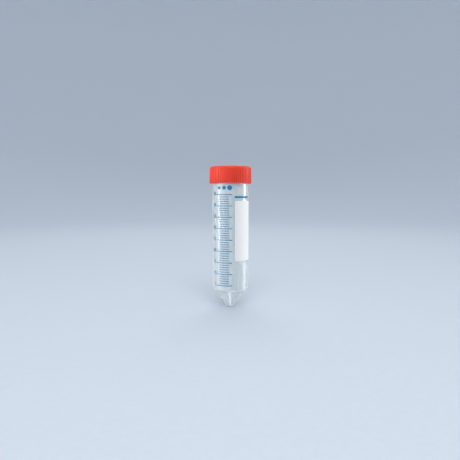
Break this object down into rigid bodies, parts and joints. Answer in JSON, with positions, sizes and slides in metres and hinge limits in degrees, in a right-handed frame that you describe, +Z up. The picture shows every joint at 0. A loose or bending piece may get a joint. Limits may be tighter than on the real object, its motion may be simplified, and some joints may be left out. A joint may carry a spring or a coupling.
{
  "type": "conical centrifuge tube",
  "caption": "Translucent conical-bottom laboratory tube with a printed volume scale, a writing patch and a ribbed screw cap that seals its mouth.",
  "frame": {"origin": "lowest point of the tip, on the tube's axis", "axes": "+Z up along the tube's axis to the cap; the printed scale faces -Y and the writing patch is turned towards +X"},
  "size_m": [0.0344, 0.0344, 0.115],
  "materials": {
    "tube": "moulded translucent polypropylene, smooth",
    "white_ink": "matt white printed layer that takes a pencil",
    "blue_ink": "printed blue ink",
    "liner": "soft pale sealing disc",
    "cap": "moulded orange-red polyethylene, satin gloss"
  },
  "bodies": {
    "tube": {"tube": "tube", "writing_patch": "white_ink", "long_scale_lines": "blue_ink", "short_scale_lines": "blue_ink", "scale_numerals": "blue_ink", "header_marks": "blue_ink"},
    "liner": {"sealing_liner": "liner"},
    "cap": {"screw_cap": "cap"}
  },
  "joints": [
    {"name": "cap_rise", "type": "slide", "parent": "tube", "child": "liner", "axis": [0, 0, 1], "range_m": [0, 0.01921]},
    {"name": "cap_turn", "type": "hinge", "parent": "liner", "child": "cap", "pos_m": [0, 0, 0.108], "axis": [0, 0, 1], "range_deg": [0, 1080]}
  ],
  "couplings": [
    {"joint": "cap_rise", "follows": "cap_turn", "m_per_rad": 0.0010186}
  ]
}
